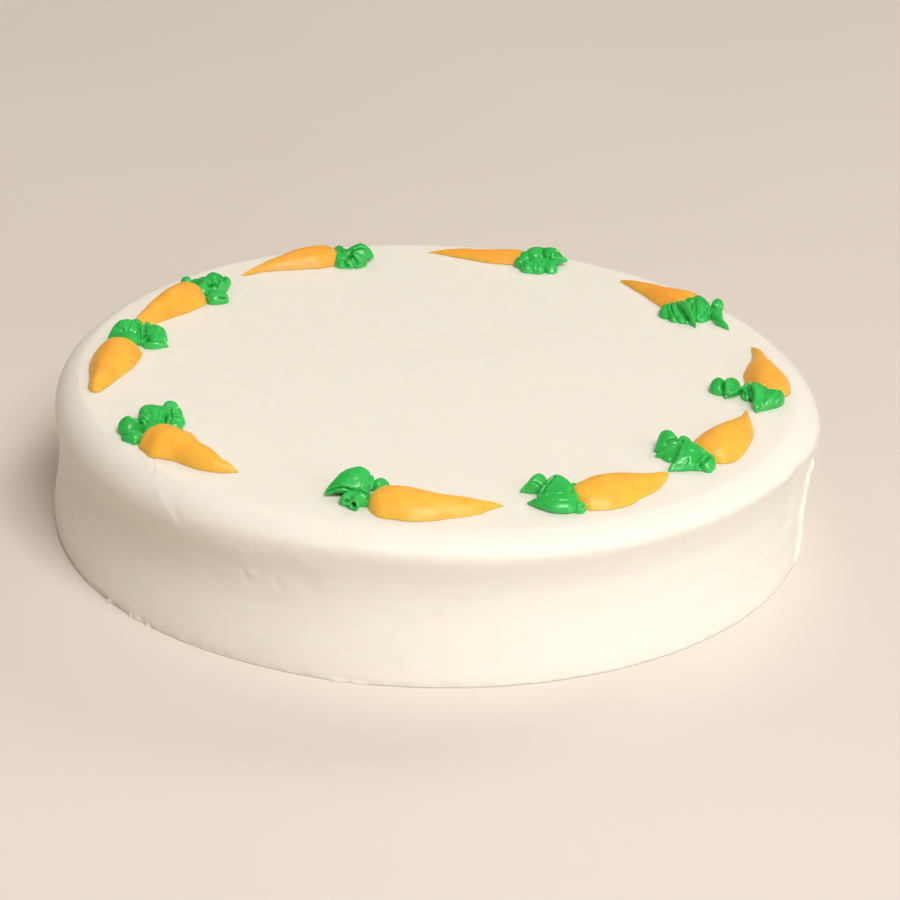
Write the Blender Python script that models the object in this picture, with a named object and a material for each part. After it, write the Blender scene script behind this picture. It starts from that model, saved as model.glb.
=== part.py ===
"""Carrot cake: a low round cake in smooth cream frosting, with ten carrots piped round the top.

Frame: the origin is the centre of the underside, +Z is up and the front of the cake faces -Y.
Sizes are in metres unless a name says degrees.
"""

import math
from collections import namedtuple

import bmesh
import bpy
from mathutils import Vector

MM = 0.001

# The cake: a ten-inch round, frosted, with a level underside and a top that leans a little to +X.
BASE_RADIUS = 126.8 * MM
SHOULDER_RADIUS = 128.2 * MM
CAKE_HEIGHT = 49.8 * MM
TOP_FALL = 0.0127  # how far the top drops for each metre towards +X
SHOULDER_ROUND = 10.3 * MM  # radius of the rounded edge between the wall and the top
SHOULDER_LEAN = 1.7 * MM  # how far the shoulder stands out towards +X
WAIST_DEPTH = 1.0 * MM  # mean depth of the hollow under the shoulder
WAIST_SWING = 0.9 * MM  # how much deeper it is where it is deepest
WAIST_ANGLE = math.radians(-110)  # where it is deepest: the front
WAIST_POWER = 1.8  # above 1, the hollow sits in the upper half of the wall
BASE_WAVES = ((3, 0.5 * MM, 0.4), (7, 0.3 * MM, 1.9), (11, 0.2 * MM, 3.0))  # count, depth, phase
CAKE_SEGMENTS = 80
WALL_STEPS = (0.0, 0.2, 0.4, 0.55, 0.68, 0.8, 0.9, 1.0)  # ring heights, as shares of the wall
SHOULDER_STEPS = 4

SHARP_ANGLE = math.radians(40)  # edges sharper than this stay crisp

GAP = 0.3 * MM  # every topping keeps this gap to the frosting
ROOT_CLEARANCE = 0.4 * MM  # the leaves keep this gap to the root they lie against

# A piped root: a drop with a round butt, a belly and a pulled tip, on a flat foot.
ROOT_BELLY = 0.25  # where the belly is, as a share of the length
ROOT_RINGS = 11
ROOT_FOOT = 0.82  # half width of the foot, as a share of the half width
ROOT_ARC_POINTS = 9
ROOT_EDGE = 0.08  # height of the icing's edge over its foot, as a share of the height
ROOT_FLATNESS = 0.8  # below 1, the back is flatter than an ellipse
ROOT_SLOPE = 0.75  # below 1, the height falls off later than the width
BUTT_RISE = 0.3  # height of the butt's end point, as a share of the height
TIP_RISE = 0.06
TIP_BLUNTNESS = 0.05  # width at the tip, as a share of the belly's

# x and y of the butt and the sizes are in millimetres, the heading in degrees from +X.
# bow is how far the tip swings to the left of the heading. taper is how soon the drop narrows:
# about 1 gives a long hollow tip, 0.5 a straight one and less than that a round one.
Root = namedtuple("Root", "x y heading length width height bow taper")
ROOTS = (
    Root(-18.5, -104.5, -2, 41.0, 18.5, 6.0, 3.0, 0.65),
    Root(42.5, -96.5, 23, 38.0, 20.5, 5.5, 5.0, 0.50),
    Root(86.0, -64.0, 56, 42.5, 18.0, 5.5, 6.0, 0.52),
    Root(113.0, -13.0, 93, 43.0, 16.0, 5.0, 0.0, 0.80),
    Root(94.0, 66.5, 141, 34.5, 17.0, 4.5, -1.5, 0.75),
    Root(34.5, 107.0, 170, 37.0, 11.5, 3.5, 3.0, 0.70),
    Root(-35.5, 101.5, 207, 40.0, 12.0, 5.5, 3.0, 0.60),
    Root(-83.0, 58.5, 236, 39.5, 15.0, 7.0, -0.5, 0.45),
    Root(-104.5, 11.0, 263, 39.5, 17.5, 5.5, -1.0, 0.25),
    Root(-89.5, -62.5, 321, 37.5, 17.0, 6.5, 0.5, 0.50),
)

# A tuft of leaves is a few strokes of icing pressed together behind the butt. A stroke starts `back`
# millimetres behind the butt and `out` millimetres towards the rim, and runs along `turn`, the angle
# in degrees from straight back towards the rim.
Stroke = namedtuple("Stroke", "kind back out turn length width height")
TUFTS = (
    (
        Stroke("fold", -3.0, -13.0, 27, 18.5, 11.0, 7.5),
        Stroke("fold", 0.0, -7.0, 352, 12.5, 7.0, 3.5),
        Stroke("nub", 2.0, -8.5, 203, 8.5, 7.0, 4.5),
        Stroke("tube", 0.5, -5.0, 52, 10.5, 5.0, 4.5),
        Stroke("tube", -1.5, -3.5, 58, 10.5, 5.0, 4.0),
    ),
    (
        Stroke("fold", -1.0, -12.0, 12, 13.5, 8.5, 5.0),
        Stroke("fold", -3.0, -4.5, 7, 17.0, 12.5, 6.5),
        Stroke("fold", 4.0, 9.5, 310, 14.5, 9.5, 4.5),
        Stroke("tube", 8.0, 7.0, 163, 10.0, 5.5, 4.0),
        Stroke("nub", -1.5, 1.0, 20, 8.0, 8.0, 4.5),
    ),
    (
        Stroke("fold", -3.5, -11.5, 346, 10.5, 8.5, 7.5),
        Stroke("fold", -5.0, -8.5, 350, 10.0, 5.0, 5.5),
        Stroke("fold", -4.5, -6.0, 4, 19.5, 8.5, 7.0),
        Stroke("tube", 10.5, -1.0, 161, 11.0, 6.5, 5.0),
        Stroke("nub", 6.0, 1.5, 74, 4.5, 4.5, 3.0),
    ),
    (
        Stroke("nub", -8.5, -15.5, 351, 9.0, 5.5, 4.5),
        Stroke("fold", -6.5, -12.5, 341, 12.0, 6.0, 5.5),
        Stroke("fold", 1.0, -4.5, 275, 11.0, 6.0, 5.0),
        Stroke("fold", -3.0, -7.0, 350, 11.0, 6.0, 4.5),
        Stroke("fold", -2.0, -4.0, 352, 18.0, 7.0, 7.0),
        Stroke("fold", -1.0, 4.0, 330, 18.0, 8.5, 5.5),
    ),
    (
        Stroke("nub", -6.0, -10.5, 312, 11.0, 6.0, 5.0),
        Stroke("nub", -4.5, -7.5, 313, 13.0, 6.0, 5.5),
        Stroke("fold", -3.0, -6.0, 322, 18.5, 6.5, 6.5),
        Stroke("nub", 0.0, 1.0, 309, 15.5, 9.5, 6.0),
        Stroke("nub", 4.5, 4.5, 305, 12.0, 6.0, 5.0),
        Stroke("fold", 10.5, -3.0, 325, 12.0, 3.5, 2.5),
    ),
    (
        Stroke("nub", -2.5, -2.5, 287, 12.0, 7.0, 5.5),
        Stroke("nub", 1.5, 2.5, 280, 15.5, 7.5, 6.0),
        Stroke("nub", 6.0, 2.5, 285, 15.0, 7.5, 6.0),
        Stroke("fold", 4.5, 4.5, 335, 11.5, 7.0, 5.0),
    ),
    (
        Stroke("nub", 2.0, 3.5, 245, 13.0, 6.5, 6.0),
        Stroke("fold", 0.5, -1.5, 350, 15.0, 9.0, 6.5),
        Stroke("nub", 4.0, 1.5, 300, 11.5, 7.0, 6.0),
        Stroke("tube", 4.0, -4.0, 250, 8.5, 6.0, 4.5),
    ),
    (
        Stroke("nub", 3.5, 1.5, 88, 8.5, 4.5, 4.5),
        Stroke("nub", 1.5, 1.5, 6, 11.5, 9.0, 6.5),
        Stroke("fold", -1.0, 0.0, 350, 14.5, 8.0, 6.0),
        Stroke("tube", -3.5, -5.0, 337, 8.5, 6.5, 4.5),
    ),
    (
        Stroke("nub", 12.0, -2.0, 132, 11.5, 8.0, 6.5),
        Stroke("fold", 15.0, 0.0, 195, 17.0, 8.0, 7.0),
        Stroke("nub", 12.5, -4.0, 218, 14.5, 9.5, 5.5),
        Stroke("fold", 2.0, -5.0, 279, 11.0, 5.0, 2.5),
        Stroke("nub", 0.5, 2.0, 12, 12.0, 9.0, 4.0),
    ),
    (
        Stroke("nub", 9.0, -1.5, 139, 12.5, 8.5, 6.0),
        Stroke("nub", 11.5, -5.0, 198, 13.5, 9.5, 7.0),
        Stroke("fold", 0.5, 2.0, 341, 12.0, 4.5, 7.0),
        Stroke("nub", 6.0, -11.5, 282, 6.5, 5.5, 5.5),
        Stroke("nub", 3.5, -9.5, 239, 8.5, 9.0, 5.0),
        Stroke("nub", 0.0, -2.0, 330, 10.0, 9.0, 4.5),
    ),
)

# Each kind of stroke as rings: share of its length, and share of its full width and height.
RINGS = {
    "fold": ((0.06, 0.60), (0.30, 1.00), (0.60, 0.78), (0.86, 0.36)),
    "nub": ((0.08, 0.60), (0.35, 1.00), (0.65, 0.97), (0.92, 0.58)),
    "tube": ((0.05, 0.70), (0.25, 1.00), (0.80, 1.00), (1.00, 0.90), (0.99, 0.45)),
}
# The end points of each kind: share of its length, and share of its height. A tube's end is hollow.
START_POINT = (0.0, 0.2)
END_POINTS = {"fold": (1.0, 0.18), "nub": (1.0, 0.18), "tube": (0.75, 0.35)}

# A stroke's section is an ellipse, given as degrees round it, with a crease pressed into one side.
SECTION_ANGLES = (-90, -35, 5, 38, 66, 100, 140, 180, 215)
CREASE_ANGLE = 38
CREASE_REACH = 0.72  # how far out the crease lies, as a share of the ellipse
SECTION_CENTRE = 0.35  # height of the ellipse's centre, as a share of the stroke's height

# The block that cuts the leaves' feet flat.
SLAB_REACH = 45 * MM
SLAB_DEPTH = 8 * MM

CREAM = (0.86, 0.80, 0.67, 1.0)
ORANGE = (0.95, 0.42, 0.05, 1.0)
GREEN = (0.03, 0.40, 0.08, 1.0)


def clear_scene():
    for thing in list(bpy.data.objects):
        bpy.data.objects.remove(thing)


def make_material(name, colour, roughness):
    material = bpy.data.materials.new(name)
    material.use_nodes = True
    shader = material.node_tree.nodes["Principled BSDF"]
    shader.inputs["Base Color"].default_value = colour
    shader.inputs["Roughness"].default_value = roughness
    shader.inputs["Metallic"].default_value = 0.0
    return material


def loft(name, rings, start_pole, end_pole, material):
    """A closed solid through rings of points of equal count, with a point or a flat cap at each end."""
    shell = bmesh.new()
    loops = [[shell.verts.new(point) for point in ring] for ring in rings]
    count = len(loops[0])
    for lower, upper in zip(loops, loops[1:]):
        for i in range(count):
            j = (i + 1) % count
            shell.faces.new((lower[i], lower[j], upper[j], upper[i]))
    close_end(shell, loops[0][::-1], start_pole)
    close_end(shell, loops[-1], end_pole)
    bmesh.ops.recalc_face_normals(shell, faces=shell.faces)
    mesh = bpy.data.meshes.new(name)
    shell.to_mesh(mesh)
    shell.free()
    mesh.shade_smooth()
    mesh.set_sharp_from_angle(angle=SHARP_ANGLE)
    mesh.materials.append(material)
    thing = bpy.data.objects.new(name, mesh)
    bpy.context.scene.collection.objects.link(thing)
    return thing


def close_end(shell, loop, pole):
    if pole is None:
        shell.faces.new(loop)
        return
    tip = shell.verts.new(pole)
    for i in range(len(loop)):
        shell.faces.new((loop[i], loop[(i + 1) % len(loop)], tip))


def top_height(x):
    return CAKE_HEIGHT - TOP_FALL * x


def smooth(share):
    return share * share * (3 - 2 * share)


def wall_point(angle, share):
    """A point on the wall: share is 0 at the base and 1 where the rounded shoulder starts."""
    base = BASE_RADIUS + sum(depth * math.cos(count * angle + phase) for count, depth, phase in BASE_WAVES)
    shoulder = SHOULDER_RADIUS + SHOULDER_LEAN * math.cos(angle)
    waist = WAIST_DEPTH + WAIST_SWING * math.cos(angle - WAIST_ANGLE)
    hollow = waist * math.sin(math.pi * share**WAIST_POWER) ** 2
    radius = base + (shoulder - base) * smooth(share) - hollow
    x, y = radius * math.cos(angle), radius * math.sin(angle)
    return Vector((x, y, (top_height(x) - SHOULDER_ROUND) * share))


def shoulder_point(angle, turn):
    """A point on the rounded shoulder: turn is 0 at the wall and a quarter turn at the top."""
    radius = SHOULDER_RADIUS + SHOULDER_LEAN * math.cos(angle) - SHOULDER_ROUND * (1 - math.cos(turn))
    x, y = radius * math.cos(angle), radius * math.sin(angle)
    return Vector((x, y, top_height(x) - SHOULDER_ROUND * (1 - math.sin(turn))))


def make_cake(material):
    angles = [math.tau * i / CAKE_SEGMENTS for i in range(CAKE_SEGMENTS)]
    turns = [math.pi / 2 * (i + 1) / SHOULDER_STEPS for i in range(SHOULDER_STEPS)]
    rings = [[wall_point(angle, share) for angle in angles] for share in WALL_STEPS]
    rings += [[shoulder_point(angle, turn) for angle in angles] for turn in turns]
    return loft("frosted_cake", rings, None, Vector((0, 0, top_height(0))), material)


class Bed:
    """The place of one carrot on the top: its butt, its heading and the two directions across it."""

    def __init__(self, root):
        heading = math.radians(root.heading)
        self.butt = Vector((root.x, root.y)) * MM
        self.ahead = Vector((math.cos(heading), math.sin(heading)))
        self.left = Vector((-self.ahead.y, self.ahead.x))

    def place(self, ahead, left, height):
        """A point from its distances ahead of the butt, to the left, and above the gap over the top."""
        spot = self.butt + self.ahead * ahead + self.left * left
        return Vector((spot.x, spot.y, top_height(spot.x) + GAP + height))


def drop_width(share, taper):
    """Half width of a drop at a share of its length, as a share of its belly's."""
    if share < ROOT_BELLY:
        return math.sqrt(1 - (1 - share / ROOT_BELLY) ** 2)
    narrowing = (share - ROOT_BELLY) / (1 - ROOT_BELLY)
    return max((0.5 + 0.5 * math.cos(math.pi * narrowing)) ** taper, TIP_BLUNTNESS)


def root_section(grow):
    """Points round a drop as shares of half width and height: a flat foot and a domed back."""
    foot = -1.0 if grow else 0.0
    points = [(-ROOT_FOOT, foot), (0.0, foot), (ROOT_FOOT, foot)]
    for i in range(ROOT_ARC_POINTS):
        turn = math.pi * (i + 0.5) / ROOT_ARC_POINTS
        dome = math.sin(turn) ** ROOT_FLATNESS
        points.append((math.cos(turn), ROOT_EDGE + (1 - ROOT_EDGE) * dome))
    return points


def make_root(name, root, grow, material):
    """One piped root. grow makes it larger all round, to cut its neighbours clear of it."""
    bed = Bed(root)
    length, width, height = root.length * MM, root.width * MM, root.height * MM
    rings = []
    for i in range(ROOT_RINGS):
        share = 0.5 - 0.5 * math.cos(math.pi * (i + 1) / (ROOT_RINGS + 1))
        fullness = drop_width(share, root.taper)
        half = width / 2 * fullness + grow
        rise = height * fullness**ROOT_SLOPE + grow
        bend = root.bow * MM * share**2
        section = root_section(grow)
        rings.append([bed.place(length * share, bend + half * side, rise * up) for side, up in section])
    start = bed.place(-grow, 0, height * BUTT_RISE)
    end = bed.place(length + grow, root.bow * MM, height * TIP_RISE)
    return loft(name, rings, start, end, material)


def make_stroke(name, root, stroke, material):
    """One stroke of leaf icing, as a closed solid whose underside is still below the top of the cake."""
    bed = Bed(root)
    turn = math.radians(stroke.turn)
    length, width, height = stroke.length * MM, stroke.width * MM, stroke.height * MM

    def spot(run, side, rise):
        back = stroke.back * MM + math.cos(turn) * run - math.sin(turn) * side
        out = stroke.out * MM + math.sin(turn) * run + math.cos(turn) * side
        return bed.place(-back, -out, rise)

    rings = []
    for share, size in RINGS[stroke.kind]:
        ring = []
        for degrees in SECTION_ANGLES:
            angle = math.radians(degrees)
            reach = CREASE_REACH if degrees == CREASE_ANGLE else 1.0
            side = width / 2 * size * reach * math.cos(angle)
            rise = SECTION_CENTRE + (1 - SECTION_CENTRE) * reach * math.sin(angle)
            ring.append(spot(length * share, side, height * rise * size))
        rings.append(ring)
    start, end = START_POINT, END_POINTS[stroke.kind]
    start_pole = spot(length * start[0], 0, height * start[1])
    end_pole = spot(length * end[0], 0, height * end[1])
    return loft(name, rings, start_pole, end_pole, material)


def make_slab(name, root, material):
    """A block under a tuft, up to the gap over the cake's top, to cut the leaves' feet flat."""
    bed = Bed(root)
    reach = SLAB_REACH
    corners = ((-reach, -reach), (reach, -reach), (reach, reach), (-reach, reach))
    rings = [[bed.place(ahead, left, level) for ahead, left in corners] for level in (-SLAB_DEPTH, 0.0)]
    return loft(name, rings, None, None, material)


def hide(cutter):
    cutter.hide_render = True
    cutter.display_type = "WIRE"


def combine(target, tool, operation):
    modifier = target.modifiers.new(tool.name, "BOOLEAN")
    modifier.operation = operation
    modifier.solver = "EXACT"
    modifier.object = tool
    hide(tool)


def make_carrot(number, root, strokes, root_material, leaf_material):
    label = f"carrot_{number:02d}"
    make_root(f"{label}_root", root, 0.0, root_material)
    leaves = make_stroke(f"{label}_leaves", root, strokes[0], leaf_material)
    for index, stroke in enumerate(strokes[1:], start=1):
        combine(leaves, make_stroke(f"{label}_stroke_{index}", root, stroke, leaf_material), "UNION")
    combine(leaves, make_root(f"{label}_root_cutter", root, ROOT_CLEARANCE, leaf_material), "DIFFERENCE")
    combine(leaves, make_slab(f"{label}_slab", root, leaf_material), "DIFFERENCE")


def main():
    clear_scene()
    frosting = make_material("frosting", CREAM, 0.55)
    orange_icing = make_material("orange_icing", ORANGE, 0.35)
    green_icing = make_material("green_icing", GREEN, 0.3)
    make_cake(frosting)
    for number, (root, strokes) in enumerate(zip(ROOTS, TUFTS), start=1):
        make_carrot(number, root, strokes, orange_icing, green_icing)


main()
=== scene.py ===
"""Carrot cake, the looks: smooth cream frosting and carrots piped in orange and green icing.

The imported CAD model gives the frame. Every CAD node is replaced by a finely modelled piece in the
same place. Sizes are in metres unless a comment says otherwise.
"""

import math
from collections import namedtuple

import bmesh
import bpy
import numpy as np
from mathutils import Euler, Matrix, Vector, noise
from mathutils.bvhtree import BVHTree


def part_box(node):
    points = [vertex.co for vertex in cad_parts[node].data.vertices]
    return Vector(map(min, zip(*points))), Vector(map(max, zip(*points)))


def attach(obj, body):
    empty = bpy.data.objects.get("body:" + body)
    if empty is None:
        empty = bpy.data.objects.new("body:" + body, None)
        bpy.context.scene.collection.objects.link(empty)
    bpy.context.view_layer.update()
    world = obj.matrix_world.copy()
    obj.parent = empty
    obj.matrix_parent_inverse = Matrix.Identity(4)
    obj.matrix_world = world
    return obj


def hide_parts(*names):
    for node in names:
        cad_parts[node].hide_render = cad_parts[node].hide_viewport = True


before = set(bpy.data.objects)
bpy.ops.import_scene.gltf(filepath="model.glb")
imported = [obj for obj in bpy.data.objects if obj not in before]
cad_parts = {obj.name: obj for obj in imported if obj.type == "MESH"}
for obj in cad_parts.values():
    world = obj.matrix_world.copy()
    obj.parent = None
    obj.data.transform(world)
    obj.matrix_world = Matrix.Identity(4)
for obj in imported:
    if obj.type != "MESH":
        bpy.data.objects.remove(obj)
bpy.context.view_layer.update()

MM = 0.001
TINY = 1e-12

# ---- the camera, at the photograph's angle ----
CAMERA_PLACE = Vector((0.0, -0.8638, 0.4213))
CAMERA_DOWN = math.radians(24.88)
CAMERA_TURN = math.radians(-0.44)
CAMERA_ROLL = math.radians(1.59)
CAMERA_LENS = 112.0
CAMERA_SENSOR = 36.0

# ---- the lights: angles in degrees, azimuth from +X towards +Y; sizes in metres, power in watts;
# shine says whether the lamp shows in gloss ----
LAMP_DISTANCE = 2.1
Lamp = namedtuple("Lamp", "name azimuth elevation size power colour shine")
LAMPS = (
    Lamp("key", -65, 52, 1.0, 38.0, (0.985, 0.97, 0.97), True),
    Lamp("low_fill", -45, 13, 1.2, 13.9, (0.83, 0.955, 1.0), True),
    Lamp("left_fill", -150, 48, 1.4, 5.6, (1.0, 0.97, 0.90), False),
    Lamp("rim", 50, 36, 0.7, 11.0, (1.0, 1.0, 0.90), False),
    Lamp("back_fill", 120, 35, 1.0, 8.0, (1.0, 1.0, 0.90), False),
)
SKY_COLOUR = (1.0, 0.78, 0.60, 1)
SKY_STRENGTH = 0.10

# ---- the frosted cake ----
CAKE = "frosted_cake"
CAKE_LOW, CAKE_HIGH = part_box(CAKE)
SHOULDER_ROUND = 10.3 * MM
TOP_FALL = 0.0127
TOP_HEIGHT = CAKE_HIGH[2] + (CAKE_LOW[0] + SHOULDER_ROUND) * TOP_FALL
WALL_RINGS = 100
SHOULDER_RINGS = 28
TOP_RINGS = 54
TOP_CROWDING = 1.4
TOP_SPAN = 0.99
BASE_RINGS = 6
# How many segments lie before each angle in degrees: they are finer where the frosting has marks.
SEGMENT_ANGLES = np.array(((0, -158), (300, -104), (530, -26), (650, -10), (900, 202)))
CAKE_SEGMENTS = int(SEGMENT_ANGLES[-1, 0])

# The wall's outline from the base up to the shoulder: share of its height, mean radius in
# millimetres, how much further out it is towards +X, and how deep it is hollowed at the front.
WALL_OUTLINE = np.array(
    (
        (0.00, 126.7, 0.2, 0.0),
        (0.06, 127.1, 0.0, 0.2),
        (0.12, 127.2, 0.0, 0.5),
        (0.22, 127.1, 0.2, 0.9),
        (0.36, 126.9, 0.9, 1.4),
        (0.49, 126.8, 1.4, 1.8),
        (0.56, 127.0, 1.7, 2.0),
        (0.65, 127.2, 2.0, 2.1),
        (0.73, 127.4, 2.2, 1.9),
        (0.82, 127.7, 2.3, 1.45),
        (0.88, 127.9, 2.2, 0.9),
        (0.94, 128.1, 2.2, 0.36),
        (1.00, 128.2, 2.1, 0.0),
    )
)
# How much of the hollow, and of the tighter shoulder, there is at angles round the cake in degrees.
HOLLOW_SHARE = np.array(
    (
        (-180, 0.0), (-166, 0.3), (-150, 1.25), (-136, 1.65), (-118, 1.1), (-95, 1.0),
        (-76, 1.4), (-58, 1.55), (-40, 1.5), (-25, 1.25), (-10, 0.2), (5, 0.0), (180, 0.0),
    )
)
TIGHT_SHARE = np.array(
    (
        (-180, 0.0), (-138, 0.0), (-112, 0.85), (-100, 1.15), (-80, 1.0),
        (-30, 1.0), (-18, 0.9), (0, 0.0), (180, 0.0),
    )
)
# How much lower the hollow lies at an angle, as a share of the wall's height.
HOLLOW_DROP = np.array(
    ((-180, 0.0), (-145, 0.0), (-130, 0.04), (-115, 0.08), (-100, 0.02), (-88, 0.0), (180, 0.0))
)
# How much shorter the shoulder is where TIGHT_SHARE is 1.
SHOULDER_TIGHT = 4.8 * MM
# The rows that are rounded off: from this share of the wall up to this many rows from the top.
SOFT_ROUNDS = 36
SOFT_FROM = 0.76
SOFT_STOP = 5
# How far the underside's outer row lies in from the foot of the wall, in rows.
BASE_GAP = 0.12

# The frosting's unevenness, in millimetres: how far each kind of bump stands proud, and how large it
# is. TURNS is the number of bumps in each radian round the cake, and LAYER picks a slice of noise.
RIM_RADIUS = 112
RIM_BLEND = 8
BROAD_BUMP = 0.25
BROAD_SIZE = 40
BROAD_TALL = 30
TOP_BROAD = 0.4
PATCH_BUMP = 0.05
PATCH_SIZE = 9
PATCH_TALL = 7
STREAK_BUMP = 0.05
STREAK_TURNS = 5
STREAK_TALL = 4.0
STREAK_DEEP = 40
SWEEP_BUMP = 0.04
SWEEP_LONG = 60
SWEEP_WIDE = 5.0
SWEEP_SLANT = 0.25
SWEEP_SHIFT = 7
SWEEP_LAYER = 3.0
RAG_BUMP = 0.45
RAG_TURNS = 38
RAG_TALL = 2
RAG_LAYER = 5.0
RAG_HEIGHT = 3
# Below this height the frosting keeps its level, and inside this radius it stays flat.
FLAT_BASE = 0.05 * MM
FLAT_RADIUS = 120 * MM


def spline(xs, ys, x):
    """A smooth curve through the points, read at x."""
    slopes = np.gradient(ys, xs)
    i = np.clip(np.searchsorted(xs, x) - 1, 0, len(xs) - 2)
    step = xs[i + 1] - xs[i]
    t = (x - xs[i]) / step
    rise = (1 + 2 * t) * (1 - t) ** 2 * ys[i] + t * t * (3 - 2 * t) * ys[i + 1]
    return rise + step * (t * (1 - t) ** 2 * slopes[i] - t * t * (1 - t) * slopes[i + 1])


def top_height(x):
    return TOP_HEIGHT - TOP_FALL * x


def shoulder_radius(angle):
    return (WALL_OUTLINE[-1, 1] + WALL_OUTLINE[-1, 2] * np.cos(angle)) * MM


def share_at(angle, table):
    """A table's value at an angle round the cake."""
    turned = np.degrees(np.arctan2(np.sin(angle), np.cos(angle)))
    return spline(table[:, 0], table[:, 1], turned)


def new_mesh(name, points, faces):
    mesh = bpy.data.meshes.new(name)
    mesh.from_pydata([tuple(p) for p in points], [], faces)
    mesh.validate()
    mesh.shade_smooth()
    thing = bpy.data.objects.new(name, mesh)
    bpy.context.scene.collection.objects.link(thing)
    return thing


def skin_faces(rows, count):
    """Quads between rings of points of equal count, and a cap on the first ring and the last."""
    faces = []
    for r in range(rows - 1):
        for i in range(count):
            j = (i + 1) % count
            faces.append((r * count + i, r * count + j, (r + 1) * count + j, (r + 1) * count + i))
    faces.append(tuple(reversed(range(count))))
    last = (rows - 1) * count
    faces.append(tuple(range(last, last + count)))
    return faces


def read_vertices(mesh):
    """Each vertex's place and its normal."""
    points = np.array([tuple(v.co) for v in mesh.vertices])
    normals = np.array([tuple(v.normal) for v in mesh.vertices])
    return points, normals


def push_vertices(mesh, points, normals, push):
    """Put each vertex at its point, pushed out along its normal."""
    mesh.vertices.foreach_set("co", (points + normals * push[:, None]).ravel())
    mesh.update()


def soften(rows, start, end):
    """Round off the shoulder: average each row from start to end with its neighbours."""
    for _ in range(SOFT_ROUNDS):
        rows[start:end] = (rows[start - 1 : end - 1] + 2 * rows[start:end] + rows[start + 1 : end + 1]) / 4
    return list(rows)


def ring(angle, radius, height):
    """One row of points round the cake."""
    return np.stack([radius * np.cos(angle), radius * np.sin(angle), height], -1)


def base_rows(angle):
    """Rows of points across the underside, from its middle out."""
    rim = (WALL_OUTLINE[0, 1] + WALL_OUTLINE[0, 2] * np.cos(angle)) * MM
    rows = []
    for i in range(BASE_RINGS):
        rows.append(ring(angle, rim * (i + 1) / (BASE_RINGS + BASE_GAP), np.zeros_like(angle)))
    return rows


def wall_rows(angle, drop):
    """Rows of points up the wall, which ends the given drop below the top."""
    shares, means, leans, hollows = WALL_OUTLINE.T
    hollowed = share_at(angle, HOLLOW_SHARE)
    lowered = share_at(angle, HOLLOW_DROP)
    rows = []
    for share in np.linspace(0.0, 1.0, WALL_RINGS):
        mean, lean = spline(shares, means, share), spline(shares, leans, share)
        hollow = spline(shares, hollows, np.minimum(share + lowered, 1.0))
        radius = (mean + lean * np.cos(angle) - hollow * hollowed) * MM
        rows.append(ring(angle, radius, (top_height(radius * np.cos(angle)) - drop) * share))
    return rows


def shoulder_rows(angle, drop):
    """Rows of points round the shoulder, from the wall to the top."""
    rows = []
    for turn in np.linspace(0.0, math.pi / 2, SHOULDER_RINGS + 1)[1:]:
        radius = shoulder_radius(angle) - SHOULDER_ROUND * (1 - math.cos(turn))
        height = top_height(radius * np.cos(angle)) - drop * (1 - math.sin(turn))
        rows.append(ring(angle, radius, height))
    return rows


def top_rows(angle):
    """Rows of points across the top, from the shoulder in."""
    rim = shoulder_radius(angle) - SHOULDER_ROUND
    rows = []
    for share in np.linspace(0.0, 1.0, TOP_RINGS)[1:]:
        radius = rim * (1 - TOP_SPAN * share**TOP_CROWDING)
        rows.append(ring(angle, radius, top_height(radius * np.cos(angle))))
    return rows


def cake_rows():
    """Rows of points from the middle of the underside, up the wall and over the top."""
    angle = np.radians(np.interp(np.arange(CAKE_SEGMENTS), *SEGMENT_ANGLES.T))
    drop = SHOULDER_ROUND - SHOULDER_TIGHT * share_at(angle, TIGHT_SHARE)
    rows = base_rows(angle) + wall_rows(angle, drop) + shoulder_rows(angle, drop)
    rows = soften(np.array(rows), BASE_RINGS + int(WALL_RINGS * SOFT_FROM), len(rows) - SOFT_STOP)
    return rows + top_rows(angle)


# A score is a mark left in the frosting: a crease, or a ridge where the depth is negative, along
# points given as x, y and z. They, the depth, the width and the lift on its left are in millimetres.
Score = namedtuple("Score", "path depth width lift", defaults=(0.0,))
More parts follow.
